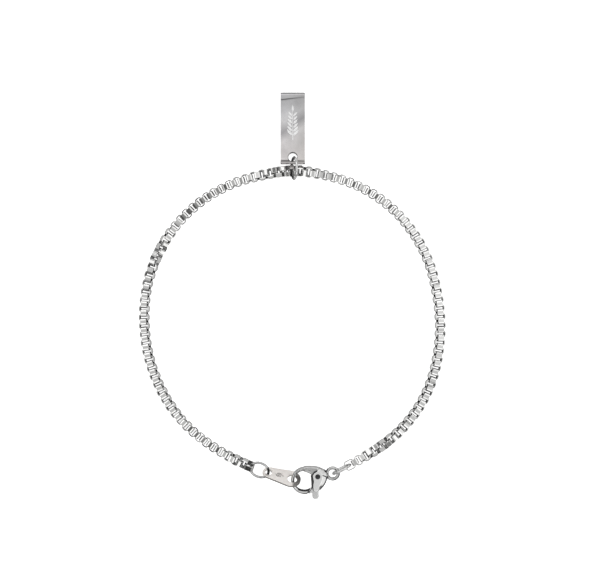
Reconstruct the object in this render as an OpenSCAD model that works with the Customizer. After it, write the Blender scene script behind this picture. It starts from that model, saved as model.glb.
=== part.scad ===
// Box-chain bracelet lying on a table: chain in two halves, tag on a jump ring, end plate and lobster clasp.
// Millimetres, +Z up. The origin is the middle of the loop, on the table.

/* [Chain] */
// Number of links, with a longer one at each end
link_count = 197; // [193:2:199]
// Length of a link along the chain
link_length = 1.36; // [1.34:0.01:1.38]
// Height of a link across the chain
link_height = 1.95; // [1.93:0.01:2]
// Breadth of the strip that a link is bent from
strip_breadth = 1.15; // [1:0.01:1.16]
// Thickness of the strip
strip_thickness = 0.2; // [0.18:0.005:0.205]
// Length of the longer link at each end
end_link_length = 1.95; // [1.9:0.01:2]

/* [Jump rings] */
// Wire of every jump ring
ring_wire = 0.5; // [0.44:0.01:0.52]
// Outer diameter of the two jump rings at the chain's ends
ring_od = 4.1; // [4.05:0.01:4.2]
// Outer diameter of the tag's jump ring
tag_ring_od = 4.56; // [4.52:0.01:4.6]

/* [Tag] */
// Width of the tag
tag_width = 4.68; // [4.4:0.01:4.8]
// Length of the tag
tag_length = 13.9; // [13.5:0.1:14.2]
// Thickness of the tag
tag_thickness = 1.1; // [0.9:0.01:1.15]
// Radius of the tag's hole
tag_hole_r = 0.86; // [0.8:0.01:0.9]
// Slope at which the tag leans on its ring
tag_slope = 7; // [6.5:0.1:7.5]

/* [End plate] */
// Length of the plate
plate_length = 7.5; // [7.45:0.01:7.55]
// Thickness of the plate
plate_thickness = 0.42; // [0.38:0.01:0.44]
// Radius of the narrow end
plate_small_r = 1.35; // [1.3:0.01:1.38]
// Radius of the wide end
plate_large_r = 1.95; // [1.9:0.01:2]
// Radius of the hole for the jump ring
plate_ring_hole_r = 0.68; // [0.66:0.01:0.72]
// Radius of the hole for the clasp's hook
plate_hook_hole_r = 0.95; // [0.92:0.01:0.97]

/* [Clasp] */
// Diameter of the hook's round bar
hook_bar = 0.8; // [0.76:0.01:0.82]
// Radius of the hook to the middle of the bar
hook_r = 2.27; // [2.24:0.01:2.29]
// Thickness of the clasp's domed body at its middle
clasp_thickness = 2.3; // [2.2:0.01:2.35]
// Width of the slot that the lever swings in
slot_width = 1; // [0.95:0.01:1.05]
// Thickness of the lever
lever_thickness = 0.8; // [0.7:0.01:0.82]
// Radius of the rivet
rivet_r = 0.35; // [0.3:0.01:0.36]

/* [Hidden] */

$fn = 48;
steel = [0.78, 0.78, 0.79];
warm_steel = [0.83, 0.81, 0.79];
dark_steel = [0.35, 0.35, 0.37];

// The chain's way round, by the clockwise angle from the tag: radius of the loop
route = [ // angle, radius
    [-175, 29.40], [-163, 28.75], [-150, 28.36], [-130, 28.46], [-110, 28.36], [-90, 28.44],
    [-70, 28.88], [-50, 28.98], [-40, 29.02], [-24, 28.82], [-10, 28.58], [0, 28.96],
    [10, 28.58], [26, 28.80], [40, 28.80], [60, 28.50], [80, 27.98], [100, 28.30],
    [120, 29.04], [140, 29.22], [150, 29.06], [158.5, 29.40], [170, 30.05]];
// Height of the chain's middle above the table
heights = [ // angle, height
    [-165, 1.45], [-156, 1.22], [-146, 1.10], [-84, 1.10], [-74, 1.17], [-56, 1.17],
    [-46, 1.04], [-36, 1.07], [-17, 1.50], [-4, 2.14], [4, 2.14], [17, 1.52], [36, 1.10],
    [124, 1.11], [134, 1.18], [150, 1.24], [158.5, 1.70], [170, 1.76]];
// Turn of the chain about its own line
rolls = [ // angle, roll
    [-163, -38], [-154, -8], [-150, 0], [-138, 0], [-125, -12], [-95, -12], [-72, -10],
    [-51, -88], [-22, -90], [-13, -104], [8, -168], [24, -178], [40, -182], [60, -190],
    [110, -195], [136, -196], [156, -268], [170, -270]];
start_angle = -163.1;
end_angle = 158.4;

// Averages a table over a stretch, so that its corners are rounded off
smooth_steps = 8;
function sum(list, from = 0) = from == len(list) ? 0 : list[from] + sum(list, from + 1);
function smooth(table, angle, reach) =
    sum([for (k = [-smooth_steps : smooth_steps]) lookup(angle + reach * k / smooth_steps, table)])
    / (2 * smooth_steps + 1);
function route_point(angle) =
    let (r = smooth(route, angle, 7))
    [r * sin(angle), r * cos(angle), smooth(heights, angle, 8)];

// Length along the route, so that links can be set at even steps
angle_step = 0.5;
angles = [for (a = [start_angle : angle_step : end_angle]) a];
function run_lengths(i = 1, total = 0, last = route_point(start_angle)) =
    i > len(angles) - 1 ? [] :
    let (here = route_point(angles[i]), now = total + norm(here - last))
    concat([now], run_lengths(i + 1, now, here));
lengths = concat([0], run_lengths());
angle_at_length = [for (i = [0 : len(angles) - 1]) [lengths[i], angles[i]]];
end_extra = (end_link_length - link_length) / 2;
pitch = (lengths[len(lengths) - 1] - 2 * end_extra) / (link_count - 1);
function link_place(i) = i * pitch + (i > 0 ? end_extra : 0) + (i == link_count - 1 ? end_extra : 0);
function point_at(length) = route_point(lookup(length, angle_at_length));
function heading(v) = atan2(v[1], v[0]);
function climb(v) = atan2(v[2], norm([v[0], v[1]]));

// The jump rings at the chain's ends, placed from the end links that they pass through
ring_r = (ring_od - ring_wire) / 2;
plate_ring_lean = 40;
plate_ring_reach = 2.08;
start_point = route_point(start_angle);
start_way = point_at(pitch) - start_point;
start_heading = heading(start_way);
plate_ring_z = ring_r * sin(plate_ring_lean) + ring_wire / 2 + 0.02;
plate_ring_xy = [start_point[0] - plate_ring_reach * cos(start_heading),
                 start_point[1] - plate_ring_reach * sin(start_heading)];
clasp_ring_reach = 1.75;
clasp_ring_lean = -5;
clasp_ring_z = ring_od / 2 + 0.01;
end_point = route_point(end_angle);
end_way = end_point - point_at(lengths[len(lengths) - 1] - pitch);
end_heading = heading(end_way);
clasp_ring_xy = [end_point[0] + clasp_ring_reach * cos(end_heading),
                 end_point[1] + clasp_ring_reach * sin(end_heading)];

// The tag and its ring
tag_ring_r = (tag_ring_od - ring_wire) / 2;
tag_ring_lean = 14;
tag_ring_at = [0.2, 29.34, tag_ring_r * cos(tag_ring_lean) + ring_wire / 2 + 0.01];
tag_x = -0.08;
tag_top_y = 43.80;
tag_hole_inset = 1.34;
tag_bevel = 0.95;

// The plate leans on the table by its wide end and hangs between ring and hook
plate_at = [-4.72, -28.87, 1.335];
plate_heading = -15.5;
plate_lean = -43;
plate_climb = -2.5;
plate_hole_gap = 4.72;
plate_ring_hole_inset = 1.15;

// The clasp, in its own frame: the hook's middle at the origin, the tail towards +X
clasp_at = [2.23, -30.27, 1.42];
clasp_heading = 13.3;
clasp_lean = 9.5;
hook_start = 62;
hook_sweep = 212;
rivet_at = [2.56, 0.26];
rivet_head_r = 0.5;
rivet_head_h = 0.12;
rivet_gap = 0.02;
lever_bore_gap = 0.04;
lever_hub_r = 1.22;
pocket_r = 1.36;
dome_r = 7;
dome_at = [2.3, -0.1];
tail_at = [5.48, 0];
tail_r = 1.08;
tail_bar_r = 0.32;
knob_at = [1.32, -3.5];
knob_r = 0.6;
knob_thickness = 1.3;

// Outline of a link seen from the side, with rounded outer corners
module link_outline(length) {
    corner = 0.36;
    x = length / 2 - corner;
    z = link_height / 2 - corner;
    difference() {
        polygon([for (q = [0 : 3], k = [0 : 2])
            let (sx = (q == 0 || q == 3) ? 1 : -1, sz = q < 2 ? 1 : -1, a = 90 * q + 45 * k)
            [sx * x + corner * cos(a), sz * z + corner * sin(a)]]);
        square([length - 2 * strip_thickness, link_height - 2 * strip_thickness], center = true);
    }
}

module link(length) {
    rotate([90, 0, 0]) linear_extrude(strip_breadth, center = true) link_outline(length);
}

// One link of the chain in its place, every second one turned a quarter about the chain's line
module placed_link(i) {
    s = link_place(i);
    at = point_at(s);
    way = point_at(s + pitch / 2) - point_at(s - pitch / 2);
    turn = smooth(rolls, lookup(s, angle_at_length), 3) + (i % 2 == 0 ? 0 : 90);
    is_end = i == 0 || i == link_count - 1;
    translate(at) rotate([turn, -climb(way), heading(way)])
        link(is_end ? end_link_length : link_length);
}

middle_link = floor(link_count / 2);

module chain_left() {
    color(steel) for (i = [0 : middle_link]) placed_link(i);
}

module chain_right() {
    color(steel) for (i = [middle_link + 1 : link_count - 1]) placed_link(i);
}

module jump_ring(r) {
    rotate_extrude($fn = 96) translate([r, 0]) circle(r = ring_wire / 2, $fn = 24);
}

module plate_ring() {
    color(steel) translate([plate_ring_xy[0], plate_ring_xy[1], plate_ring_z])
        rotate([0, 0, start_heading]) rotate([-plate_ring_lean, 0, 0]) jump_ring(ring_r);
}

module clasp_ring() {
    color(steel) translate([clasp_ring_xy[0], clasp_ring_xy[1], clasp_ring_z])
        rotate([90 + clasp_ring_lean, 0, end_heading]) jump_ring(ring_r);
}

module tag_ring() {
    color(steel) translate(tag_ring_at) rotate([0, tag_ring_lean, 0]) rotate([0, 90, 0])
        jump_ring(tag_ring_r);
}

// Side view of the tag, its far end at the origin, both ends bevelled round
module tag_profile() {
    h = tag_thickness / 2;
    near = -tag_length;
    polygon([[-tag_bevel, h], [-0.35, 0.6 * h], [0, 0], [-0.2, -0.7 * h], [-0.5, -h],
             [near + 0.5, -h], [near + 0.2, -0.7 * h], [near, 0], [near + 0.35, 0.6 * h],
             [near + tag_bevel, h]]);
}

module tag() {
    color(steel) translate([tag_x, tag_top_y, 0]) rotate([-tag_slope, 0, 0])
        translate([0, 0, tag_thickness / 2]) difference() {
            rotate([90, 0, 90]) linear_extrude(tag_width, center = true) tag_profile();
            translate([0, tag_hole_inset - tag_length, 0])
                cylinder(r = tag_hole_r, h = 2 * tag_thickness, center = true);
        }
}

module plate_outline() {
    small_x = plate_small_r - plate_ring_hole_inset;
    large_x = plate_length - plate_ring_hole_inset - plate_large_r;
    flare = asin((plate_large_r - plate_small_r) / (large_x - small_x));
    union() {
        translate([small_x, 0]) circle(r = plate_small_r);
        translate([large_x, 0]) circle(r = plate_large_r);
        polygon([for (side = [[small_x, plate_small_r, -1], [large_x, plate_large_r, -1],
                              [large_x, plate_large_r, 1], [small_x, plate_small_r, 1]])
            [side[0] - side[1] * sin(flare), side[2] * side[1] * cos(flare)]]);
    }
}

module end_plate() {
    color(warm_steel) translate(plate_at) rotate([0, 0, plate_heading]) rotate([plate_lean, plate_climb, 0])
        difference() {
            linear_extrude(plate_thickness, center = true) plate_outline();
            cylinder(r = plate_ring_hole_r, h = 2, center = true);
            translate([plate_hole_gap, 0, 0]) cylinder(r = plate_hook_hole_r, h = 2, center = true);
        }
}

module clasp_place() {
    translate(clasp_at) rotate([clasp_lean, 0, clasp_heading]) children();
}

module body_outline() {
    polygon([[0.55, 2.60], [1.15, 2.52], [1.77, 2.34], [2.45, 2.12], [3.03, 1.84], [3.60, 1.45],
             [4.10, 1.00], [4.35, 0.70], [4.35, -0.55], [4.10, -0.85], [3.35, -1.62],
             [2.70, -2.20], [2.15, -2.60], [1.60, -2.62], [1.30, -2.30], [1.55, -1.30],
             [1.52, -0.20], [1.38, 0.26], [1.42, 0.90], [1.10, 1.45], [0.42, 1.74]]);
}

// Lens between two large spheres, which domes both faces of the body
module dome_lens() {
    sink = dome_r - clasp_thickness / 2;
    intersection() {
        translate([dome_at[0], dome_at[1], -sink]) sphere(r = dome_r, $fn = 96);
        translate([dome_at[0], dome_at[1], sink]) sphere(r = dome_r, $fn = 96);
    }
}

// Room for the lever between the two cheeks, open towards the hook and below
module lever_pocket() {
    linear_extrude(slot_width, center = true) union() {
        translate(rivet_at) circle(r = pocket_r);
        polygon([[rivet_at[0] - pocket_r, rivet_at[1]], [rivet_at[0] + pocket_r, rivet_at[1]],
                 [3.92, -3.2], [0, -3.2], [0, -1]]);
    }
}

module clasp_body() {
    color(steel) clasp_place() difference() {
        union() {
            rotate([0, 0, hook_start]) rotate_extrude(angle = hook_sweep, $fn = 96)
                translate([hook_r, 0]) circle(r = hook_bar / 2, $fn = 24);
            intersection() {
                linear_extrude(2 * clasp_thickness, center = true) body_outline();
                dome_lens();
            }
            translate(tail_at) rotate_extrude($fn = 96) translate([tail_r, 0])
                circle(r = tail_bar_r, $fn = 24);
        }
        lever_pocket();
        translate(rivet_at) cylinder(r = rivet_r + rivet_gap, h = 4, center = true);
    }
}

module lever_outline() {
    union() {
        translate(rivet_at) circle(r = lever_hub_r);
        polygon([[rivet_at[0] - lever_hub_r, rivet_at[1]], [1.12, -1.20], [0.42, -1.95],
                 [0.42, -2.60], [0.90, -2.95], [0.95, -3.40], [1.70, -3.40], [1.85, -2.90],
                 [2.10, -2.30], [3.25, -0.55], [rivet_at[0] + 0.9, rivet_at[1]]]);
    }
}

module clasp_lever() {
    color(steel) clasp_place() difference() {
        union() {
            linear_extrude(lever_thickness, center = true) lever_outline();
            translate(knob_at) cylinder(r = knob_r, h = knob_thickness, center = true);
        }
        translate(rivet_at) cylinder(r = rivet_r + lever_bore_gap, h = 4, center = true);
    }
}

module clasp_rivet() {
    face = clasp_thickness / 2 + rivet_gap;
    color(dark_steel) clasp_place() translate(rivet_at) {
        cylinder(r = rivet_r, h = 2 * face, center = true);
        for (side = [-1, 1]) translate([0, 0, side * (face + rivet_head_h / 2)])
            cylinder(r = rivet_head_r, h = rivet_head_h, center = true);
    }
}

chain_left();
chain_right();
tag();
tag_ring();
plate_ring();
end_plate();
clasp_body();
clasp_lever();
clasp_rivet();
clasp_ring();
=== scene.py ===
# Looks of the box-chain bracelet: links, tag, end plate, lobster clasp, jump rings and studio.
import math
import bmesh
import bpy
import numpy as np
from mathutils import Matrix, Vector


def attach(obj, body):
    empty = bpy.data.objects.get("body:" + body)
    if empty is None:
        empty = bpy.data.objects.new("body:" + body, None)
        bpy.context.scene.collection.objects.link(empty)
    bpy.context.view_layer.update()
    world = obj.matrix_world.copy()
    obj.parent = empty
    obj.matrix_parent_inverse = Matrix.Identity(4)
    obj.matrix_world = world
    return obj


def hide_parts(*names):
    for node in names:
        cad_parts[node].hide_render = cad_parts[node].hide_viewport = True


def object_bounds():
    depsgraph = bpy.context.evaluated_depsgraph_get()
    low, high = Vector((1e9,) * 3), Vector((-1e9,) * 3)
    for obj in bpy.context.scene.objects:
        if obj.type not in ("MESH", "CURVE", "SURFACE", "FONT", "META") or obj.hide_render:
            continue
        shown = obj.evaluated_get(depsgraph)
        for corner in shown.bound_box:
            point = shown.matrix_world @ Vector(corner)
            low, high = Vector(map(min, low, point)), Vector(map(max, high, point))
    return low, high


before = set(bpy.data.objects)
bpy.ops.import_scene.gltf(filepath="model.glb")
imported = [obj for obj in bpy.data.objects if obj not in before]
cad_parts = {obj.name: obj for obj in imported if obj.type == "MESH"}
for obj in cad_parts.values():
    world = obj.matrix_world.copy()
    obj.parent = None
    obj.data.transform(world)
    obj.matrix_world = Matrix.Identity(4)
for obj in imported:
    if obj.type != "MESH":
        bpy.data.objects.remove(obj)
cad_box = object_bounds()

# Shapes are drawn in millimetres, and brought into the frame's metres when they are placed
MM = 0.001
UP = Vector((0, 0, 1))
ALONG_X, ALONG_Y, ALONG_Z = (1, 0, 0), (0, 1, 0), (0, 0, 1)

# Chain: the length, breadth and height of its links come from the frame
STRIP, STRIP_EDGE, LINK_CORNER = 0.2, 0.035, 0.42
# Bends of a link's corner: how far along, how far down, and the degrees by which they face away from up
LINK_FOLDS = [(0.0, 0.0, 13), (0.25, 0.122, 32), (0.32, 0.177, 52), (LINK_CORNER, LINK_CORNER, 78)]
# INNER_SIDE is the side of the strip's section that faces into the link; its faces get painted shade
INNER_SIDE = 2
LINK_PLAY = math.radians(3.0)
CHAIN_SEED = 7
END_LINK_SHARE = 1.2

# Jump rings: the seam's width, how far the wire steps there, and how much its sawn ends are rounded
RING_STEPS, SEAM_WIDTH, SEAM_STEP, SEAM_ROUNDING = 120, 0.035, 0.03, 0.9

# Engraved sprig
LEAF_STEPS, LEAF_BULGE, LEAF_BLUNTNESS = 7, 0.8, 0.9
LEAF_TILT = math.radians(42)
FIRST_LEAF, LEAF_SPAN, LEAF_TAPER, LEAF_STAGGER = 0.16, 0.80, 0.35, 0.10
STEM_TAPER, STEM_GAP, TOP_LEAF = 0.6, 1.9, 0.8

# Tag, in the frame of its own lying face
TAG_X, TAG_TOP_Y, TAG_SLOPE = -0.08, 43.80, 7.0
TAG_WIDTH, TAG_LENGTH, TAG_THICK = 4.68, 13.9, 1.1
TAG_HOLE_R, TAG_HOLE_INSET = 0.86, 1.34
TAG_HOLE_BEVEL, TAG_HOLE_BEVEL_BELOW = 0.10, 0.08
TAG_EDGE, TAG_EDGE_SHARE, TAG_EDGE_BEND, TAG_CROWN = 0.09, 0.35, 0.3, 0.045
TAG_TWIST, TAG_TWIST_TURN = 0.10, 0.6
TAG_ROLL, TAG_LIP, TAG_LIP_RISE, TAG_SLANT = 0.86, 0.40, 0.036, 0.26
TAG_TIP, TAG_ROLL_POWER, TAG_UNDER_SPEED = 0.12, 2.4, 1.6
TAG_END_STEPS, TAG_LIP_STEPS, TAG_MIDDLE_STEPS, TAG_ACROSS_STEPS = 12, 14, 40, 17

# End plate
PLATE_AT, PLATE_HEADING, PLATE_LEAN, PLATE_CLIMB = (-4.72, -28.87, 1.335), -15.5, -43.0, -2.5
PLATE_LENGTH, PLATE_THICK = 7.5, 0.42
PLATE_SMALL_R, PLATE_LARGE_R = 1.35, 1.95
PLATE_RING_HOLE_R, PLATE_HOOK_HOLE_R = 0.68, 0.95
PLATE_RING_INSET, PLATE_HOLE_GAP = 1.15, 4.72
PLATE_EDGE, PLATE_HOLE_RIM = 0.09, 0.06

# Clasp, in its own frame: the hook's middle at the origin, the tail ring towards +X
CLASP_AT, CLASP_HEADING, CLASP_LEAN = (2.23, -30.27, 1.42), 13.3, 9.5
RIVET_AT, RIVET_TOP = (2.56, 0.26), 1.27
TAIL_AT, TAIL_R, TAIL_WIRE, TAIL_EXTRA_HEIGHT = (5.48, 0.0), 1.08, 0.32, 0.04
CHEEK_HALF, CHEEK_FOOT, SHOULDER_HALF, SHOULDER_EDGE = 1.12, 0.82, 0.80, 0.36
BOSS_R, BOSS_TOP_R, BOSS_ANGLES = 1.20, 0.94, (95, 118, 140, 162, 185)
SLOT_R, SLOT_HALF, SLOT_EDGE = 1.36, 0.5, 0.06
CAST_BORE_R, LEVER_BORE_R = 0.37, 0.39
CAST_VOXEL, LEVER_VOXEL, CAST_ROUNDS = 0.045, 0.04, 3
LEVER_HALF, LEVER_EDGE, HUB_R, HUB_EDGE = 0.39, 0.30, 1.22, 0.08

# Hook: angle, half width, half height and outer radius
HOOK_STATIONS = [
    (48, 0.50, 0.90, 2.62), (64, 0.46, 0.86, 2.64), (85, 0.43, 0.74, 2.64), (115, 0.39, 0.58, 2.64),
    (150, 0.34, 0.47, 2.64), (185, 0.33, 0.43, 2.66), (215, 0.39, 0.44, 2.72), (245, 0.45, 0.46, 2.74),
    (285, 0.45, 0.46, 2.72), (306, 0.44, 0.42, 2.70)]
# Upper half of its section at the crown and further down, from the outside in
HOOK_CROWN = [(1.0, 0.0), (0.90, 0.32), (0.62, 0.68), (0.34, 0.95), (0.24, 1.0), (0.10, 0.97), (-0.35, 0.79),
              (-0.76, 0.60), (-0.94, 0.40), (-1.0, 0.0)]
HOOK_LOWER = [(1.0, 0.0), (0.97, 0.45), (0.84, 0.76), (0.60, 0.86), (0.36, 1.0), (0.10, 0.90), (-0.16, 0.78),
              (-0.40, 0.66), (-0.70, 0.34), (-1.0, 0.0)]
HOOK_CHANGES, HOOK_STEPS = (150, 195), 104

# Knob: its end, the way back to the rivet, the way across, and its rounded corners
KNOB_END, KNOB_TURN = Vector((1.19, -4.08)), -11
KNOB_BACK, KNOB_SIDE = Vector((0.19, 0.98)), Vector((0.98, -0.19))
KNOB_REACH, KNOB_HALF_WIDTH, KNOB_HALF, KNOB_EDGE = 1.75, 0.60, 0.52, 0.20
KNOB_CORNER_R, KNOB_CORNER_OUT = 0.52, 0.10

# Where the clasp lies in shadow in the photo: two knots, and two lines with their reach
NECKS, NECK_R = ((4.42, 0.96), (4.40, -0.70)), 0.36
CREASE = ((3.60, 0.24), (4.59, -0.55), 1.2)
JUNCTION = ((0.93, -1.63), (-0.03, -2.63), 1.6)
FAR = 9.0

# Studio: what the camera sees, and the brightness of the tent by degrees from straight up
VIEW_MIDDLE = (0.545, 5.487)
VIEW_WIDTH = 113.2
CAMERA_HEIGHT, CAMERA_ABOVE, SENSOR = 700.0, 1.5, 36.0
TENT = [(0, 0.02), (4, 0.04), (8, 0.32), (12, 0.36), (40, 0.38), (44, 0.78), (64, 0.78), (68, 0.12),
        (82, 0.12), (86, 0.50), (95, 0.55), (180, 0.45)]
TENT_STRENGTH = 1.7
TENT_FOLDS, FOLD_SCALE = 0.08, 1.6
HOLE_TOWARDS = (-0.035, -0.035, 1.0)
# Panel: a brighter half of the upper tent, from a soft edge across it down to a band of degrees
PANEL_GAIN = 1.45
PANEL_X, PANEL_Y = 0.5, 0.87
PANEL_EDGE, PANEL_FOOT = (0.08, 0.24), (38, 44)
# Outer tent: the sides and the patches change its brightness, the more the nearer it is to the floor
HORIZON_X, HORIZON_Y = -0.25, 0.6
PATCH_SCALE, PATCH_EDGE, PATCH_LEVELS = 9.0, (0.42, 0.58), (-1.0, 1.3)
OUTER_BAND, LEAST_LIGHT = (58, 78), 0.03
# Flags: turn from +X and distance from straight up, in degrees, and the share of light that they leave
FLAGS = [(222, 53, 0.05), (42, 53, 0.8)]
FLAG_CORE, FLAG_RIM = 9, 17
FLOOR_SIZE = 3.0
FLOOR_SHADE = 0.72
FLOOR_GLOW = 0.94
PLAIN_WHITE = 0.95


# Places

def turned(at, heading, lean=0.0, climb=0.0):
    """Frame of a piece: first leaned about its own X, then climbed about Y, then turned to its heading."""
    return (Matrix.Translation(Vector(at)) @ Matrix.Rotation(math.radians(heading), 4, "Z")
            @ Matrix.Rotation(math.radians(climb), 4, "Y") @ Matrix.Rotation(math.radians(lean), 4, "X"))


clasp_frame = turned(CLASP_AT, CLASP_HEADING, CLASP_LEAN)
plate_frame = turned(PLATE_AT, PLATE_HEADING, PLATE_LEAN, PLATE_CLIMB)
tag_frame = turned((TAG_X, TAG_TOP_Y, 0), 0, -TAG_SLOPE) @ Matrix.Translation((0, 0, TAG_THICK / 2))


def keep_on_floor(obj):
    """Flattens the few hundredths of a millimetre that would sink below the CAD's lowest point."""
    for vert in obj.data.vertices:
        vert.co.z = max(vert.co.z, cad_box[0][2])


def finish_piece(obj, place, body, node, material):
    """Brings a piece from millimetres into the frame, and says what it stands for."""
    obj.data.transform(Matrix.Scale(MM, 4) @ place)
    if not obj.data.materials:
        obj.data.materials.append(material)
    keep_on_floor(obj)
    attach(obj, body)
    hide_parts(node)
    return obj


# Mesh helpers

def new_object(name, data):
    obj = bpy.data.objects.new(name, data)
    bpy.context.scene.collection.objects.link(obj)
    return obj


def from_bmesh(name, bm):
    mesh = bpy.data.meshes.new(name)
    bmesh.ops.recalc_face_normals(bm, faces=bm.faces)
    bm.to_mesh(mesh)
    bm.free()
    return new_object(name, mesh)


def skin(bm, rings, closed=False):
    """Faces between rings of as many points each, and a lid at both ends unless the rings close."""
    rings = [[bm.verts.new(p) for p in ring] for ring in rings]
    n = len(rings[0])
    pairs = list(zip(rings, rings[1:])) + ([(rings[-1], rings[0])] if closed else [])
    for one, two in pairs:
        for i in range(n):
            j = (i + 1) % n
            bm.faces.new((one[i], one[j], two[j], two[i]))
    if not closed:
        bm.faces.new(list(reversed(rings[0])))
        bm.faces.new(rings[-1])


def from_rings(name, rings, closed=False):
    bm = bmesh.new()
    skin(bm, rings, closed)
    return from_bmesh(name, bm)


def drop(obj):
    mesh = obj.data
    bpy.data.objects.remove(obj)
    bpy.data.meshes.remove(mesh)


def applied(obj):
    """Turns what the modifiers make of an object into its plain mesh."""
    graph = bpy.context.evaluated_depsgraph_get()
    graph.update()
    mesh = bpy.data.meshes.new_from_object(obj.evaluated_get(graph))
    old = obj.data
    obj.modifiers.clear()
    obj.data = mesh
    bpy.data.meshes.remove(old)
    mesh.name = obj.name
    return obj


def soften(obj, limit):
    """Shades an object smooth, apart from edges sharper than the limit."""
    bm = bmesh.new()
    bm.from_mesh(obj.data)
    for face in bm.faces:
        face.smooth = True
    for edge in bm.edges:
        edge.smooth = edge.calc_face_angle(0.0) < math.radians(limit)
    bm.to_mesh(obj.data)
    bm.free()
    return obj


def carve(obj, *cutters):
    """Cuts other solids out of an object."""
    for cutter in cutters:
        cut = obj.modifiers.new("cut", "BOOLEAN")
        cut.operation = "DIFFERENCE"
        cut.solver = "EXACT"
        cut.object = cutter
        applied(obj)
        drop(cutter)
    return obj


def fuse(name, parts, voxel):
    """Fuses overlapping solids into one cast body, with their corners rounded."""
    bm = bmesh.new()
    for part in parts:
        bm.from_mesh(part.data)
    whole = from_bmesh(name, bm)
    for part in parts:
        drop(part)
    remesh = whole.modifiers.new("cast", "REMESH")
    remesh.mode = "VOXEL"
    remesh.voxel_size = voxel
    remesh.use_smooth_shade = True
    polish = whole.modifiers.new("polish", "SMOOTH")
    polish.factor = 0.5
    polish.iterations = CAST_ROUNDS
    return applied(whole)


def coated(obj, steels, index=0):
    """Gives an object its steels, and all its faces one of them."""
    for steel in steels:
        obj.data.materials.append(steel)
    for face in obj.data.polygons:
        face.material_index = index
    return obj


def flowing(points, per=6):
    """Closed curve that flows through its points."""
    out = []
    n = len(points)
    for i in range(n):
        a, b, c, d = (Vector(points[(i + k) % n]) for k in (-1, 0, 1, 2))
        for k in range(per):
            t = k / per
            out.append(0.5 * (2 * b + (c - a) * t + (2 * a - 5 * b + 4 * c - d) * t ** 2
                              + (3 * b - a - 3 * c + d) * t ** 3))
    return out


def around(centre, r, degrees):
    """Point on a circle."""
    a = math.radians(degrees)
    return Vector((centre[0] + r * math.cos(a), centre[1] + r * math.sin(a)))


def round_arc(centre, r, start, end, steps):
    return [around(centre, r, start + (end - start) * k / steps) for k in range(steps + 1)]


def inset(points, by):
    """Moves a closed anticlockwise outline inwards."""
    out = []
    n = len(points)
    for i in range(n):
        before = (points[i] - points[i - 1]).normalized()
        after = (points[(i + 1) % n] - points[i]).normalized()
        inwards = Vector((-(before.y + after.y), before.x + after.x)).normalized()
        spread = max(0.5, inwards.dot(Vector((-after.y, after.x))))
        out.append(points[i] + inwards * (by / spread))
    return out


def slab(name, outline, half, edge, steps=4):
    """Closed slab over a flat outline, with its rims rounded by a quarter circle."""
    rings = []
    for side in (-1, 1):
        for k in range(steps + 1):
            a = math.radians(90) * (k if side > 0 else steps - k) / steps
            z = side * (half - edge + edge * math.sin(a))
            rings.append([(p.x, p.y, z) for p in inset(outline, edge * (1 - math.cos(a)))])
    return from_rings(name, rings)


def cylinder(name, centre, r, half, sides=64):
    return slab(name, round_arc(centre, r, 0, 360 * (1 - 1 / sides), sides - 1), half, edge=0.0, steps=1)


def loft(name, levels):
    """Closed solid through flat outlines of as many points each, one over the other."""
    return from_rings(name, [[(p.x, p.y, z) for p in outline] for outline, z in levels])


def lathe(name, centre, rows, sides=64):
    """Solid turned about an upright axis; its rows are radius and height, from the bottom up."""
    return tube(name, [(Vector((*centre, z)), Vector((r, 0, 0)), Vector((0, r, 0))) for r, z in rows],
                sides=sides)


def tube(name, sections, closed=False, sides=24):
    """Skin over round or oval sections, each with a centre and two half axes."""
    rim = [(math.cos(math.tau * k / sides), math.sin(math.tau * k / sides)) for k in range(sides)]
    rings = [[centre + across * u + up * v for u, v in rim] for centre, across, up in sections]
    return from_rings(name, rings, closed)


# Metals

def add(tree, kind, inputs=(), **settings):
    """Adds a node: first its settings, then its inputs, each a value or another node's output."""
    node = tree.nodes.new(kind)
    for name, value in settings.items():
        setattr(node, name, value)
    for key, value in dict(inputs).items():
        if isinstance(value, bpy.types.NodeSocket):
            tree.links.new(value, node.inputs[key])
        else:
            node.inputs[key].default_value = value
    return node


def grey(level):
    return (level, level, level)


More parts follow.
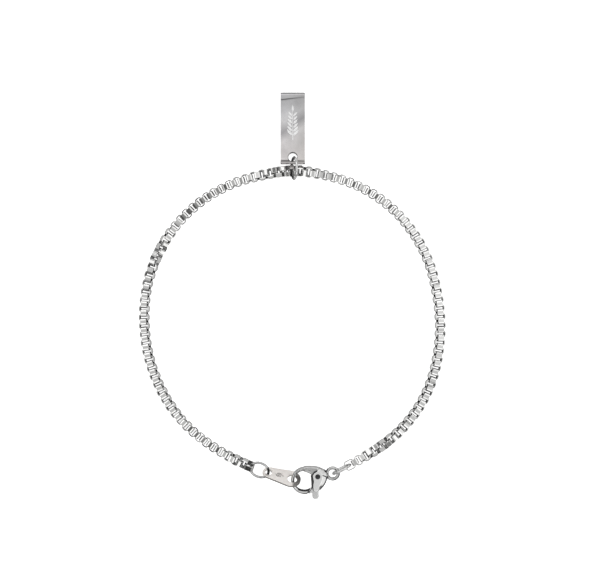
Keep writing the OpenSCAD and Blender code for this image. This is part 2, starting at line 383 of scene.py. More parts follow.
def metal(name, tint, rough, tint_spread=0.03, scratch=0.15, grain=(1, 1, 1), shade_drifts=(), satin=None):
    """Polished or satin steel: faint clouds of tint, painted shade and highlights that change along given
    directions, uneven gloss and hair scratches.
    """
    material = bpy.data.materials.new(name)
    material.use_nodes = True
    tree = material.node_tree
    shader = tree.nodes["Principled BSDF"]
    shader.inputs["Metallic"].default_value = 1.0
    where = add(tree, "ShaderNodeTexCoord")
    scaled = add(tree, "ShaderNodeMapping", {"Vector": where.outputs["Object"], "Scale": (1 / MM,) * 3})
    in_mm = scaled.outputs["Vector"]

    def noise(vector, scale, detail):
        node = add(tree, "ShaderNodeTexNoise", {"Vector": vector, "Scale": scale, "Detail": detail})
        return node.outputs["Fac"]

    def along(direction, start, end):
        """Share of the way between two distances along a direction."""
        reach = add(tree, "ShaderNodeVectorMath", {0: in_mm, 1: direction}, operation="DOT_PRODUCT")
        share = add(tree, "ShaderNodeMapRange",
                    {"Value": reach.outputs["Value"], "From Min": start, "From Max": end})
        return share.outputs["Result"]

    shades = add(tree, "ShaderNodeValToRGB", {"Fac": noise(in_mm, scale=0.45, detail=3.0)})
    low, high = shades.color_ramp.elements
    low.position, high.position = 0.3, 0.7
    low.color = (*[max(0.0, c - tint_spread) for c in tint], 1)
    high.color = (*[min(1.0, c + tint_spread) for c in tint], 1)
    tinted = shades.outputs["Color"]
    # Painted shade and highlights, each laid along a direction
    for direction, start, end, tints in shade_drifts:
        shade_drift = add(tree, "ShaderNodeValToRGB", {"Fac": along(direction, start, end)})
        for stop, colour in zip(shade_drift.color_ramp.elements, tints):
            stop.color = (*colour, 1)
        blend = add(tree, "ShaderNodeMix", {"Factor": 1.0, "A": tinted, "B": shade_drift.outputs["Color"]},
                    data_type="RGBA", blend_type="MULTIPLY")
        tinted = blend.outputs["Result"]

    rough_spread = 0.06
    gloss = add(tree, "ShaderNodeMapRange",
                {"Value": noise(in_mm, scale=2.2, detail=5.0), "To Min": max(0.02, rough - rough_spread),
                 "To Max": rough + rough_spread})
    glossy = gloss.outputs["Result"]
    if satin:
        direction, start, end, satin_tint, satin_rough = satin
        share = along(direction, start, end)
        coat = add(tree, "ShaderNodeMix", {"Factor": share, "A": tinted, "B": (*satin_tint, 1)},
                   data_type="RGBA")
        dull = add(tree, "ShaderNodeMix", {"Factor": share, "A": glossy, "B": satin_rough})
        tinted, glossy = coat.outputs["Result"], dull.outputs["Result"]
    tree.links.new(tinted, shader.inputs["Base Color"])
    tree.links.new(glossy, shader.inputs["Roughness"])

    stretch = add(tree, "ShaderNodeMapping", {"Vector": in_mm, "Scale": grain})
    hairs = noise(stretch.outputs["Vector"], scale=6.0, detail=6.0)
    relief = add(tree, "ShaderNodeBump", {"Height": hairs, "Strength": scratch, "Distance": 0.01 * MM})
    tree.links.new(relief.outputs["Normal"], shader.inputs["Normal"])
    return material


chain_steel = metal("chain_steel", (0.785, 0.785, 0.775), 0.13)
# Painted shade: the inner sides of the links' strips are dark, for the shade inside the links
inner_steel = metal("inner_steel", grey(0.30), 0.22)
# Painted light on the tag: painted shade darker to the right, warmer near the hole and a little darker
# towards the far end, a painted shade band slanting across with a painted highlight beside it, and painted
# shade at both ends
shade_band_way = (-0.6, 0.8, 0)
tag_painted_light = [(ALONG_X, -1.6, 2.3, ((0.96, 0.96, 0.975), (0.81, 0.81, 0.805))),
              (ALONG_Y, 32.0, 40.0, ((1.0, 0.965, 0.94), grey(0.9))),
              (shade_band_way, 30.1, 31.6, ((0.69, 0.69, 0.70), grey(1))),
              (shade_band_way, 28.7, 30.1, ((1.45, 1.45, 1.43), grey(1))),
              (ALONG_Y, 39.4, 42.2, (grey(1), grey(0.80))),
              (ALONG_Y, 30.4, 31.1, (grey(0.66), grey(1)))]
tag_steel = metal("tag_steel", (0.74, 0.735, 0.74), 0.10, tint_spread=0.07, scratch=0.08, shade_drifts=tag_painted_light)
# Painted shadow: the plate's ring goes dark where it passes through the plate's hole, and the tag's ring goes
# dark on its lower part, under the tag
ring_steel = metal("ring_steel", grey(0.56), 0.10,
                   shade_drifts=[((0.95, -0.3, 0), 3.6, 3.78, (grey(1), grey(0.10)))])
clasp_ring_steel = metal("clasp_ring_steel", (0.70, 0.70, 0.695), 0.10)
tag_ring_steel = metal("tag_ring_steel", (0.72, 0.72, 0.715), 0.10,
                       shade_drifts=[(ALONG_Z, 2.3, 3.2, (grey(0.16), grey(1)))])
etched_steel = metal("etched_steel", grey(0.94), 0.55, tint_spread=0.02, scratch=0.5)
# Painted shade: the plate's end under the hook goes dark
plate_way = plate_frame.to_3x3() @ Vector(ALONG_X)
plate_start = plate_frame.translation.dot(plate_way)
plate_steel = metal("plate_steel", (0.98, 0.935, 0.90), 0.42, scratch=0.25, grain=(0.3, 4.0, 4.0),
                    shade_drifts=[(plate_way, plate_start + 4.9, plate_start + 5.3, (grey(1), grey(0.28)))])
# Dark steel for the engraved sprig, and as painted shade on the plate's lower edge
mark_steel = metal("mark_steel", (0.30, 0.285, 0.275), 0.40)
clasp_up = clasp_frame.to_3x3() @ UP
cheek_top = clasp_frame.translation.dot(clasp_up) + CHEEK_HALF
clasp_steel = metal("clasp_steel", (0.60, 0.60, 0.595), 0.11,
                    satin=(clasp_up, cheek_top - 0.035, cheek_top - 0.015, (0.96, 0.96, 0.955), 0.28))
# Near-black steel for painted shadow on the clasp's gate side, crescent, knots and creases
recess_steel = metal("recess_steel", (0.07, 0.07, 0.072), 0.30)
lever_steel = metal("lever_steel", (0.78, 0.78, 0.775), 0.26)
# Near-black steel: painted shade on the rivet
rivet_steel = metal("rivet_steel", (0.05, 0.05, 0.052), 0.35)


# Chain

def link_frames(node):
    """Middle, axes and half sizes of each link in a CAD chain, read from the frame."""
    bm = bmesh.new()
    bm.from_mesh(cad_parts[node].data)
    bmesh.ops.remove_doubles(bm, verts=bm.verts, dist=1e-7)
    bm.faces.index_update()
    seen = set()
    found = []
    for first in bm.verts:
        if first in seen:
            continue
        seen.add(first)
        group = [first]
        for vert in group:
            for edge in vert.link_edges:
                other = edge.other_vert(vert)
                if other not in seen:
                    seen.add(other)
                    group.append(other)
        faces = sorted({f for v in group for f in v.link_faces}, key=lambda f: f.index)
        spread = sum((f.calc_area() * np.outer(f.normal, f.normal) for f in faces), np.zeros((3, 3)))
        across = Vector(np.linalg.eigh(spread)[1][:, 0])
        along = max(faces, key=lambda f: f.calc_area()).normal.copy()
        axes = (along, across, along.cross(across).normalized())
        reach = [[v.co.dot(a) for v in group] for a in axes]
        middle = sum((a * (min(r) + max(r)) / 2 for a, r in zip(axes, reach)), Vector())
        halves = [(max(r) - min(r)) / 2 for r in reach]
        found.append((middle, axes, halves))
    bm.free()
    return found


def link_shape(name, length, height, breadth):
    """One link: a flat strip folded into a closed box, its corners in three bends and its edges broken."""
    t, b, e = STRIP, breadth / 2, STRIP_EDGE
    section = [(0, b - e), (-e, b), (-t, b), (-t, -b), (-e, -b), (0, -b + e)]
    rings = []
    for sx, sz, order in ((1, 1, 1), (1, -1, -1), (-1, -1, 1), (-1, 1, -1)):
        for along, down, tilt in LINK_FOLDS[::order]:
            p = Vector((sx * (length / 2 - LINK_CORNER + along), 0, sz * (height / 2 - down)))
            out = Vector((sx * math.sin(math.radians(tilt)), 0, sz * math.cos(math.radians(tilt))))
            rings.append([p + out * x + Vector((0, y, 0)) for x, y in section])
    link = from_rings(name, rings, closed=True)
    link.data.transform(Matrix.Scale(MM, 4))
    # The strip's inner side is marked for the painted shade
    inside = link.data.attributes.new("inside", "BOOLEAN", "FACE")
    for k, face in enumerate(inside.data):
        face.value = k % len(section) == INNER_SIDE
    return link


def chain_tree():
    """Geometry Nodes: sets a link on every point, turned as the point says, with a little play."""
    tree = bpy.data.node_groups.new("links_on_points", "GeometryNodeTree")
    for label, kind in (("Points", "Geometry"), ("Link", "Object"), ("End Link", "Object"), ("Play", "Float"),
                        ("Seed", "Int"), ("Metal", "Material"), ("Inside Metal", "Material")):
        tree.interface.new_socket(name=label, in_out="INPUT", socket_type="NodeSocket" + kind)
    tree.interface.new_socket(name="Chain", in_out="OUTPUT", socket_type="NodeSocketGeometry")
    given = add(tree, "NodeGroupInput").outputs

    def attribute(name, data_type):
        node = add(tree, "GeometryNodeInputNamedAttribute", {"Name": name}, data_type=data_type)
        return node.outputs["Attribute"]

    least = add(tree, "ShaderNodeMath", {0: given["Play"], 1: -1.0}, operation="MULTIPLY")
    play = add(tree, "FunctionNodeRandomValue",
               {"Min": least.outputs[0], "Max": given["Play"], "Seed": given["Seed"]},
               data_type="FLOAT_VECTOR")
    loose = add(tree, "FunctionNodeRotateRotation",
                {"Rotation": attribute("turn", "QUATERNION"), "Rotate By": play.outputs["Value"]},
                rotation_space="LOCAL")
    is_end = attribute("is_end", "BOOLEAN")
    others = add(tree, "FunctionNodeBooleanMath", {0: is_end}, operation="NOT")
    both = add(tree, "GeometryNodeJoinGeometry")
    for label, chosen in (("Link", others.outputs[0]), ("End Link", is_end)):
        info = add(tree, "GeometryNodeObjectInfo", {"Object": given[label]})
        put = add(tree, "GeometryNodeInstanceOnPoints",
                  {"Points": given["Points"], "Selection": chosen, "Instance": info.outputs["Geometry"],
                   "Rotation": loose.outputs["Rotation"]})
        tree.links.new(put.outputs["Instances"], both.inputs["Geometry"])
    real = add(tree, "GeometryNodeRealizeInstances", {"Geometry": both.outputs["Geometry"]})
    coat = add(tree, "GeometryNodeSetMaterial",
               {"Geometry": real.outputs["Geometry"], "Material": given["Metal"]})
    # Painted shade on the inner sides of the links
    inner_coat = add(tree, "GeometryNodeSetMaterial",
                     {"Geometry": coat.outputs["Geometry"], "Selection": attribute("inside", "BOOLEAN"),
                      "Material": given["Inside Metal"]})
    add(tree, "NodeGroupOutput", {"Chain": inner_coat.outputs["Geometry"]})
    return tree


def chain(name, node, tree, link, end_link, seed):
    """The links of one CAD chain, in their places."""
    frames = link_frames(node)
    usual = sorted(halves[0] for _, _, halves in frames)[len(frames) // 2]
    points = bpy.data.meshes.new(name)
    points.from_pydata([middle for middle, _, _ in frames], [], [])
    points.attributes.new("turn", "QUATERNION", "POINT")
    points.attributes.new("is_end", "BOOLEAN", "POINT")
    for i, (_, axes, halves) in enumerate(frames):
        points.attributes["turn"].data[i].value = Matrix(axes).transposed().to_quaternion()
        points.attributes["is_end"].data[i].value = halves[0] > usual * END_LINK_SHARE
    obj = new_object(name, points)
    links = obj.modifiers.new("links", "NODES")
    links.node_group = tree
    given = {"Link": link, "End Link": end_link, "Play": LINK_PLAY, "Seed": seed, "Metal": chain_steel,
             "Inside Metal": inner_steel}
    for item in tree.interface.items_tree:
        if item.in_out == "INPUT" and item.name in given:
            links[item.identifier] = given[item.name]
    applied(obj)
    keep_on_floor(obj)
    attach(obj, "bracelet")
    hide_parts(node)
    return obj


def make_chain():
    sizes = sorted((halves for _, _, halves in link_frames("chain_left")), key=lambda halves: halves[0])
    link, end_link = (link_shape(name, 2 * length / MM, 2 * height / MM, 2 * breadth / MM)
                      for name, (length, breadth, height) in (("link", sizes[0]), ("end_link", sizes[-1])))
    tree = chain_tree()
    chain("left_chain", "chain_left", tree, link, end_link, CHAIN_SEED)
    chain("right_chain", "chain_right", tree, link, end_link, CHAIN_SEED + 1)
    drop(link)
    drop(end_link)


# Jump rings

def ring_of(node):
    """Frame, mean radius and wire radius of a CAD ring, in millimetres."""
    co = np.array([v.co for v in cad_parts[node].data.vertices]) / MM
    middle = (co.min(0) + co.max(0)) / 2
    normal = Vector(np.linalg.eigh(np.cov((co - co.mean(0)).T))[1][:, 0])
    if normal.z < 0:
        normal = -normal
    along = np.array(normal)
    flat = (co - middle) @ along
    wire = (flat.max() - flat.min()) / 2
    outer = np.linalg.norm((co - middle) - np.outer(flat, along), axis=1).max()
    turn = normal.to_track_quat("Z", "Y").to_matrix().to_4x4()
    return Matrix.Translation(Vector(middle)) @ turn, outer - wire, wire


def jump_ring(name, node, seam, steel):
    """Ring of round wire, bent to and sawn through at the seam."""
    place, r, wire = ring_of(node)
    gap = SEAM_WIDTH / r
    sections = []
    for k in range(RING_STEPS + 1):
        a = math.radians(seam) + gap / 2 + (math.tau - gap) * k / RING_STEPS
        step = SEAM_STEP * (k / RING_STEPS - 0.5) ** 3
        out = Vector((math.cos(a), math.sin(a), 0))
        sections.append((out * r + UP * step, out * wire, UP * wire))
    for end in (0, -1):
        centre, across, up = sections[end]
        sections.insert(len(sections) if end else 0, (centre, across * SEAM_ROUNDING, up * SEAM_ROUNDING))
    ring = soften(tube(name, sections), 50)
    return finish_piece(ring, place, "bracelet", node, steel)


# Engraved sprig

def leaf(base, direction, length, width):
    """Pointed leaf outline, anticlockwise."""
    along = Vector(direction).normalized()
    side = Vector((-along.y, along.x))
    half = [(t, 0.5 * math.sin(math.pi * t ** LEAF_BULGE) ** LEAF_BLUNTNESS)
            for t in (k / LEAF_STEPS for k in range(1, LEAF_STEPS))]
    rim = [(0.0, 0.0)] + half + [(1.0, 0.0)] + [(t, -w) for t, w in reversed(half)]
    return [Vector(base) + along * (t * length) + side * (-w * width) for t, w in rim]


def sprig(name, base, direction, length, pairs, leaf_length, leaf_width, stem, top, depth):
    """Cutter for a twig with pairs of leaves, sunk to a depth below the surface that it engraves."""
    along = Vector(direction).normalized()
    side = Vector((-along.y, along.x))
    base = Vector(base)
    tip = base + along * length
    shapes = [[base + side * stem, base - side * stem, tip - side * stem * STEM_TAPER]
              + leaf(tip, along, leaf_length * TOP_LEAF, leaf_width * TOP_LEAF)[1:]
              + [tip + side * stem * STEM_TAPER]]
    for k in range(pairs):
        at = base + along * (length * (FIRST_LEAF + LEAF_SPAN * k / pairs))
        size = 1.0 - LEAF_TAPER * k / pairs
        for hand in (-1, 1):
            out = along * math.cos(LEAF_TILT) + side * hand * math.sin(LEAF_TILT)
            start = at + side * hand * stem * STEM_GAP + along * (LEAF_STAGGER if hand > 0 else 0.0)
            shapes.append(leaf(start, out, leaf_length * size, leaf_width * size))
    bm = bmesh.new()
    for shape in shapes:
        skin(bm, [[(p.x, p.y, z) for p in shape] for z in (top - depth, top + 1)])
    return from_bmesh(name, bm)


# Tag

def tag_heights(d, u):
    """Top and bottom of the tag, a distance from its far tip: its ends roll over after a slight lip."""
    h = TAG_THICK / 2
    from_end = min(d, TAG_LENGTH - d)
    lip_start = TAG_ROLL + (TAG_SLANT * (1 - u) if d < TAG_LENGTH / 2 else 0.0)
    lip = min(1.0, max(0.0, 1 - (from_end - lip_start) / TAG_LIP))
    top = h + TAG_LIP_RISE * lip ** 2
    t = min(1.0, from_end / TAG_ROLL)
    tip = TAG_TIP * h
    roll, under = (math.sqrt(max(0.0, 1 - (1 - share) ** TAG_ROLL_POWER))
                   for share in (t, min(1.0, t * TAG_UNDER_SPEED)))
    return tip + (top - tip) * roll, -tip - (h - tip) * under


def tag_section(d, across):
    """Outline of the tag's cross section, a distance from its far tip."""
    half = TAG_WIDTH / 2
    top, bottom = tag_heights(d, 0.0)
    e = min(TAG_EDGE, (top - bottom) * TAG_EDGE_SHARE)
    bend = TAG_EDGE_BEND * e
    skew = TAG_TWIST * math.sin(math.pi * d / TAG_LENGTH) * (TAG_TWIST_TURN - d / TAG_LENGTH)
    face = [(u * (half - e), tag_heights(d, u)[0] - TAG_CROWN * u * u + skew * u) for u in across]
    right, left = face[-1][1], face[0][1]
    return face + [(half - bend, right - bend), (half, right - e), (half, bottom + e),
                   (half - bend, bottom + bend), (half - e, bottom), (e - half, bottom),
                   (bend - half, bottom + bend), (-half, bottom + e), (-half, left - e),
                   (bend - half, left - bend)]


def make_tag():
    """Polished bar whose ends roll over, with a drilled hole and an engraved sprig."""
    ends = [TAG_ROLL * (1 - math.cos(math.radians(90 * k / TAG_END_STEPS))) for k in range(TAG_END_STEPS)]
    lip_end = TAG_ROLL + TAG_LIP + 2 * TAG_SLANT
    lips = [TAG_ROLL + (lip_end - TAG_ROLL) * k / TAG_LIP_STEPS for k in range(TAG_LIP_STEPS)]
    middle = np.linspace(lip_end, TAG_LENGTH - lip_end, TAG_MIDDLE_STEPS)
    stations = ends + lips + list(middle) + [TAG_LENGTH - d for d in reversed(ends + lips)]
    across = np.linspace(-1, 1, TAG_ACROSS_STEPS)
    bar = from_rings("tag_bar", [[(x, -d, z) for x, z in tag_section(d, across)] for d in stations])
    soften(bar, 20)
    h, past = TAG_THICK / 2, 0.5
    hole = lathe("hole", (0, TAG_HOLE_INSET - TAG_LENGTH),
                 [(TAG_HOLE_R + past, TAG_HOLE_BEVEL_BELOW - h - past),
                  (TAG_HOLE_R, TAG_HOLE_BEVEL_BELOW - h),
                  (TAG_HOLE_R, h - TAG_HOLE_BEVEL),
                  (TAG_HOLE_R + TAG_HOLE_BEVEL, h),
                  (TAG_HOLE_R + TAG_HOLE_BEVEL + past, h + past)])
    mark = sprig("mark", base=(0.0, -9.3), direction=(0, 1), length=5.6, pairs=6, leaf_length=1.45,
                 leaf_width=0.50, stem=0.07, top=h, depth=0.035)
    for part, index in ((bar, 0), (hole, 0), (mark, 1)):
        coated(part, (tag_steel, etched_steel), index)
    carve(bar, hole, mark)
    return finish_piece(bar, tag_frame, "bracelet", "tag", tag_steel)


# End plate

def make_plate():
    """Teardrop plate with a small hole for the jump ring and a large one for the hook."""
    small_x = PLATE_SMALL_R - PLATE_RING_INSET
    large_x = PLATE_LENGTH - PLATE_RING_INSET - PLATE_LARGE_R
    flare = math.degrees(math.asin((PLATE_LARGE_R - PLATE_SMALL_R) / (large_x - small_x)))
    outline = (round_arc((large_x, 0), PLATE_LARGE_R, -90 - flare, 90 + flare, 32)
               + round_arc((small_x, 0), PLATE_SMALL_R, 90 + flare, 270 - flare, 24))
    plate = slab("end_plate_body", outline, PLATE_THICK / 2, PLATE_EDGE)
    # The lower edge gets the dark steel as painted shade
    shaded_lower_edge = [face.index for face in plate.data.polygons if face.normal.y < -0.8]
    mark = sprig("mark", base=(1.25, 0.0), direction=(1, 0), length=1.3, pairs=3, leaf_length=0.72,
                 leaf_width=0.20, stem=0.045, top=PLATE_THICK / 2, depth=0.04)
    coated(plate, (plate_steel, mark_steel))
    coated(mark, (plate_steel, mark_steel), 1)
    for index in shaded_lower_edge:
        plate.data.polygons[index].material_index = 1
    carve(plate, mark, cylinder("small_hole", (0, 0), PLATE_RING_HOLE_R, half=1),
          cylinder("large_hole", (PLATE_HOLE_GAP, 0), PLATE_HOOK_HOLE_R, half=1))
    rims = plate.modifiers.new("rims", "BEVEL")
    rims.width = PLATE_HOLE_RIM
    rims.segments = 3
    rims.limit_method = "ANGLE"
    rims.angle_limit = math.radians(60)
    applied(plate)
    soften(plate, 30)
    return finish_piece(plate, plate_frame, "bracelet", "end_plate", plate_steel)


# Clasp

def hook(name):
    """The hook: a bar with a ridge round the opening, stout at the shoulder and tip and slim at the crown."""
    angles, *columns = zip(*HOOK_STATIONS)
    rings = []
    for k in range(HOOK_STEPS + 1):
        a = angles[0] + (angles[-1] - angles[0]) * k / HOOK_STEPS
        wide, high, outer = (float(np.interp(a, angles, column)) for column in columns)
        share = float(np.interp(a, HOOK_CHANGES, (0, 1)))
        roof = [(u + (u2 - u) * share, v + (v2 - v) * share)
                for (u, v), (u2, v2) in zip(HOOK_CROWN, HOOK_LOWER)]
        rim = roof + [(u, -v) for u, v in reversed(roof[1:-1])]
        out = Vector((math.cos(math.radians(a)), math.sin(math.radians(a)), 0))
        rings.append([out * (outer - wide + wide * u) + UP * (high * v) for u, v in rim])
    return from_rings(name, rings)


def from_line(at, start, end, reach):
    """Distance from a slanting line, seen from above, or a large one past the line's reach."""
    way = (Vector(end) - Vector(start)).normalized()
    place = at.xy - Vector(start)
    past = place.dot(way)
    return FAR if past < -0.1 or past > reach else abs(place.cross(way))


def cast_in_shadow(face):
    """Says whether a face of the casting lies in shadow in the photo."""
    at, normal = face.center, face.normal
    height, tilt = abs(at.z), abs(normal.z)
    out = Vector((at.x, at.y, 0)).normalized()
    turn = math.degrees(math.atan2(at.y, at.x))
    on_cheek = height > CHEEK_FOOT + 0.01 and 0.3 < tilt < 0.95
    towards_gate = normal.x < -0.15 or (normal.y > 0.2 and at.x < 2.4)
    gate_side = on_cheek and towards_gate and at.x < 2.7 and at.y > -2.2
    crescent = -150 < turn < -78 and normal.dot(out) < -0.45 and at.x > -1.7
    neck = tilt < 0.9 and min((at.xy - Vector(knot)).length for knot in NECKS) < NECK_R
    lower_rim = (at.x > 2.1 and at.y < -0.2 and height < CHEEK_FOOT + 0.06 and tilt < 0.97
                 and normal.x - normal.y > 0.3)
    crease = from_line(at, *CREASE) < 0.10
    junction = from_line(at, *JUNCTION) < 0.24 and at.x < 1.0
    return gate_side or crescent or neck or lower_rim or crease or junction


def lever_in_shadow(face):
    """Says whether a face of the lever lies in shadow in the photo."""
    at = face.center
    return from_line(at, *JUNCTION) < 0.20 or (face.normal.x < -0.25 and -1.75 < at.y < 1.0)


def shadowed(obj, steel, in_shadow):
    """Gives an object its steel, and the near-black steel of painted shadow where it lies in shadow."""
    coated(obj, (steel, recess_steel))
    for face in obj.data.polygons:
        if in_shadow(face):
            face.material_index = 1


def make_clasp_body():
    """Cast body: hook, shoulder, raised cheeks with a broad bevel, and the tail ring; the slot is milled."""
    base = flowing([(0.42, 2.58), (1.50, 2.42), (2.45, 2.14), (3.15, 1.82), (3.70, 1.42), (4.20, 0.98),
                    (4.46, 0.55), (4.42, -0.30), (4.16, -0.80), (3.83, -1.30), (3.33, -1.86),
                    (2.64, -2.36), (2.10, -2.60), (1.62, -2.62), (1.26, -2.38), (1.16, -1.66),
                    (1.40, -0.60), (1.56, 0.05), (1.46, 0.62), (1.26, 1.02), (0.74, 1.44), (0.22, 1.80)])
    leg_foot = [(1.36, -0.42), (1.18, -1.06), (1.06, -1.60), (1.08, -2.16), (1.36, -2.44), (1.74, -2.50)]
    rim_foot = [(2.20, -2.50), (2.80, -2.12), (3.74, -1.22), (4.18, -0.50), (4.28, 0.42), (3.80, 1.20),
                (3.12, 1.62)]
    leg_top = [(1.62, -0.42), (1.38, -1.06), (1.22, -1.60), (1.18, -2.14), (1.42, -2.42), (1.74, -2.50)]
    rim_top = [(2.04, -2.34), (2.30, -1.82), (2.88, -1.04), (3.28, -0.30), (3.42, 0.34), (3.22, 0.94),
               (2.86, 1.26)]
    foot, top = (flowing([around(RIVET_AT, r, a) for a in BOSS_ANGLES] + leg + rim)
                 for r, leg, rim in ((BOSS_R, leg_foot, rim_foot), (BOSS_TOP_R, leg_top, rim_top)))
    cheeks = loft("cheeks", [(top, -CHEEK_HALF), (foot, -CHEEK_FOOT), (foot, CHEEK_FOOT), (top, CHEEK_HALF)])
    tail_up = UP * (TAIL_WIRE + TAIL_EXTRA_HEIGHT)
    tail = []
    for a in (math.tau * k / 64 for k in range(64)):
        out = Vector((math.cos(a), math.sin(a), 0))
        tail.append((Vector((*TAIL_AT, 0)) + out * TAIL_R, out * TAIL_WIRE, tail_up))
    shoulder = slab("base", list(reversed(base)), SHOULDER_HALF, SHOULDER_EDGE, steps=6)
    body = fuse("clasp_cast", [hook("hook"), shoulder, cheeks, tube("tail", tail, closed=True)], CAST_VOXEL)
    slot = (round_arc(RIVET_AT, SLOT_R, 0, 180, 24)
            + [Vector(p) for p in ((1.00, -0.60), (0.88, -1.30), (0.84, -1.62), (0.40, -2.18),
                                   (-0.08, -2.60), (-0.08, -3.40), (3.92, -3.40))])
    tip_cut = [Vector(p) for p in ((0.86, -1.62), (0.40, -2.18), (-0.08, -2.60), (-0.08, -3.40),
                                   (1.10, -3.40), (1.02, -2.40), (1.00, -1.62))]
    carve(body, slab("tip_cut", tip_cut, half=1.5, edge=0.0, steps=1))
    carve(body, slab("slot", slot, SLOT_HALF, SLOT_EDGE, steps=2),
          cylinder("bore", RIVET_AT, CAST_BORE_R, half=4))
    soften(body, 50)
    shadowed(body, clasp_steel, cast_in_shadow)
    return finish_piece(body, clasp_frame, "bracelet", "clasp_body", clasp_steel)


def make_lever():
    """Lever: hub on the rivet, gate with a foot that meets the hook's tip, and a thumb knob."""
    gate = flowing([(1.42, 0.70), (1.25, 0.17), (1.14, -0.53), (1.02, -1.18), (0.92, -1.62), (0.52, -2.20),
                    (0.10, -2.56), (0.16, -2.74), (0.55, -2.80), (1.00, -2.78), (1.10, -3.10), (1.50, -3.30),
                    (1.86, -3.00), (2.06, -2.40), (2.80, -1.20), (3.30, -0.45), (3.60, 0.60), (2.60, 1.30)],
                   per=5)
    arm = slab("arm", gate, LEVER_HALF, LEVER_EDGE, steps=5)
    hub = slab("hub", round_arc(RIVET_AT, HUB_R, 0, 352.5, 47), LEVER_HALF, HUB_EDGE, steps=3)
    root = KNOB_END + KNOB_BACK * KNOB_REACH
    tab = [root + KNOB_SIDE * KNOB_HALF_WIDTH, root - KNOB_SIDE * KNOB_HALF_WIDTH]
    for hand, quarter in ((-1, 180), (1, 270)):
        corner = KNOB_END + KNOB_BACK * KNOB_CORNER_R + KNOB_SIDE * (KNOB_CORNER_OUT * hand)
        start = quarter + KNOB_TURN
        tab += round_arc(corner, KNOB_CORNER_R, start, start + 90, 8)
    knob = slab("knob", tab, KNOB_HALF, KNOB_EDGE)
    lever = fuse("lever_with_knob", [arm, hub, knob], LEVER_VOXEL)
    carve(lever, cylinder("bore", RIVET_AT, LEVER_BORE_R, half=4))
    soften(lever, 50)
    shadowed(lever, lever_steel, lever_in_shadow)
    return finish_piece(lever, clasp_frame, "lever", "clasp_lever", lever_steel)


def make_rivet():
    """Rivet with low domed heads, its steel painted near black as painted shade."""
    head = [(r, RIVET_TOP - down) for r, down in ((0.35, 0.14), (0.5, 0.13), (0.47, 0.10), (0.38, 0.05),
                                                  (0.2, 0.01), (0.02, 0.0))]
    rows = [(r, -z) for r, z in reversed(head)] + head
    rivet = soften(lathe("rivet_pin", RIVET_AT, rows, sides=40), 60)
    return finish_piece(rivet, clasp_frame, "bracelet", "clasp_rivet", rivet_steel)


# Studio

def make_floor():
    """White floor, which the camera sees as nearly pure white."""
    bpy.ops.mesh.primitive_plane_add(size=FLOOR_SIZE)
    floor = bpy.context.object
    floor.name = "floor"
    white = bpy.data.materials.new("floor_white")
    white.use_nodes = True
    tree = white.node_tree
    ray = add(tree, "ShaderNodeLightPath")
    wash = add(tree, "ShaderNodeMath", {0: ray.outputs["Is Camera Ray"], 1: FLOOR_GLOW}, operation="MULTIPLY")
    paint = tree.nodes["Principled BSDF"]
    for label, value in (("Base Color", (*grey(FLOOR_SHADE), 1)), ("Roughness", 0.8),
                         ("Specular IOR Level", 0.1), ("Emission Color", (1, 1, 1, 1))):
        paint.inputs[label].default_value = value
    tree.links.new(wash.outputs["Value"], paint.inputs["Emission Strength"])
    floor.data.materials.append(white)


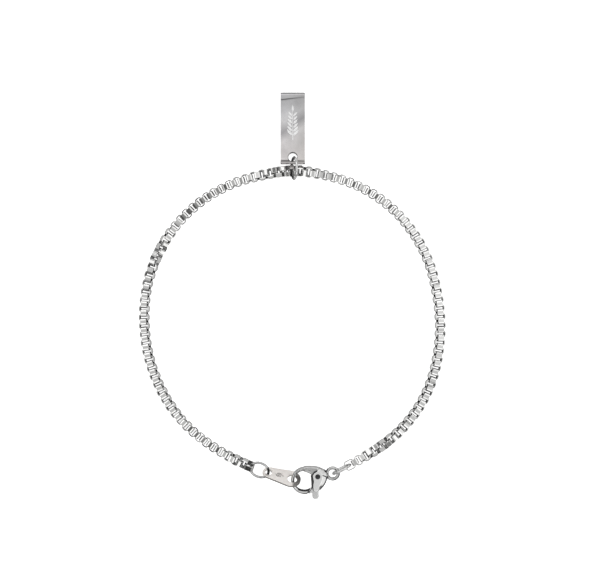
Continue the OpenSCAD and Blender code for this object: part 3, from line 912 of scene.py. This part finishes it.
def make_tent():
    """Tent of soft light, with a dark opening above, a dark skirting, a panel, patches and flags."""
    world = bpy.data.worlds.new("tent")
    bpy.context.scene.world = world
    world.use_nodes = True
    tree = world.node_tree
    tree.nodes.clear()
    way = add(tree, "ShaderNodeTexCoord").outputs["Generated"]
    split = add(tree, "ShaderNodeSeparateXYZ", {"Vector": way})
    x, y = split.outputs["X"], split.outputs["Y"]

    def calc(operation, *values):
        return add(tree, "ShaderNodeMath", dict(enumerate(values)), operation=operation).outputs["Value"]

    def spread(value, low, high, to_low, to_high):
        node = add(tree, "ShaderNodeMapRange", {"Value": value, "From Min": low, "From Max": high,
                                                "To Min": to_low, "To Max": to_high})
        return node.outputs["Result"]

    def degrees(value, low, high, to_low, to_high):
        return spread(value, math.radians(low), math.radians(high), to_low, to_high)

    def noise(scale):
        node = add(tree, "ShaderNodeTexNoise", {"Vector": way, "Scale": scale, "Detail": 1.0})
        return node.outputs["Fac"]

    def angle_from(towards):
        lean = add(tree, "ShaderNodeVectorMath", {0: way, 1: Vector(towards).normalized()},
                   operation="DOT_PRODUCT")
        return calc("ARCCOSINE", lean.outputs["Value"])

    angle = angle_from(HOLE_TOWARDS)
    hung = calc("MULTIPLY", angle, spread(noise(FOLD_SCALE), 0, 1, 1 - TENT_FOLDS, 1 + TENT_FOLDS))
    sides = calc("MULTIPLY_ADD", x, HORIZON_X, calc("MULTIPLY", y, HORIZON_Y))
    patches = spread(noise(PATCH_SCALE), *PATCH_EDGE, *PATCH_LEVELS)
    outer = degrees(angle, *OUTER_BAND, 0, 1)
    varied = calc("MAXIMUM", calc("MULTIPLY_ADD", outer, calc("ADD", sides, patches), 1.0), LEAST_LIGHT)
    across_panel = spread(calc("MULTIPLY_ADD", x, PANEL_X, calc("MULTIPLY", y, PANEL_Y)), *PANEL_EDGE, 0, 1)
    below_panel = degrees(angle, *PANEL_FOOT, PANEL_GAIN - 1, 0)
    panel = calc("MULTIPLY_ADD", across_panel, below_panel, 1.0)
    strength = calc("MULTIPLY", calc("MULTIPLY", varied, panel), TENT_STRENGTH)
    for turn, down, left in FLAGS:
        turn, down = math.radians(turn), math.radians(down)
        towards = (math.sin(down) * math.cos(turn), math.sin(down) * math.sin(turn), math.cos(down))
        strength = calc("MULTIPLY", strength, degrees(angle_from(towards), FLAG_CORE, FLAG_RIM, left, 1))
    tent = add(tree, "ShaderNodeValToRGB", {"Fac": degrees(hung, 0, 180, 0, 1)})
    ramp = tent.color_ramp.elements
    while len(ramp) < len(TENT):
        ramp.new(0.5)
    for element, (angle_up, level) in zip(ramp, TENT):
        element.position = angle_up / 180
        element.color = (*grey(level), 1)
    lit = add(tree, "ShaderNodeBackground", {"Color": tent.outputs["Color"], "Strength": strength})
    plain = add(tree, "ShaderNodeBackground", {"Color": (*grey(PLAIN_WHITE), 1)})
    ray = add(tree, "ShaderNodeLightPath")
    seen = add(tree, "ShaderNodeMixShader",
               {"Fac": ray.outputs["Is Camera Ray"], 1: lit.outputs["Background"],
                2: plain.outputs["Background"]})
    add(tree, "ShaderNodeOutputWorld", {"Surface": seen.outputs["Shader"]})


def make_camera():
    """Camera that looks straight down from far above, framed as the photo is."""
    lens = bpy.data.cameras.new("camera")
    camera = new_object("camera", lens)
    lens.sensor_width = SENSOR
    lens.lens = SENSOR * CAMERA_HEIGHT / VIEW_WIDTH
    lens.clip_start = 0.01
    lens.clip_end = 10.0
    camera.location = (VIEW_MIDDLE[0] * MM, VIEW_MIDDLE[1] * MM, (CAMERA_HEIGHT + CAMERA_ABOVE) * MM)
    bpy.context.scene.camera = camera
    bpy.context.scene.view_settings.view_transform = "Standard"


make_floor()
make_tent()
make_camera()
make_chain()
jump_ring("plate_jump_ring", "plate_ring", 150, ring_steel)
jump_ring("clasp_jump_ring", "clasp_ring", 60, clasp_ring_steel)
jump_ring("tag_jump_ring", "tag_ring", 200, tag_ring_steel)
make_tag()
make_plate()
make_clasp_body()
make_lever()
make_rivet()
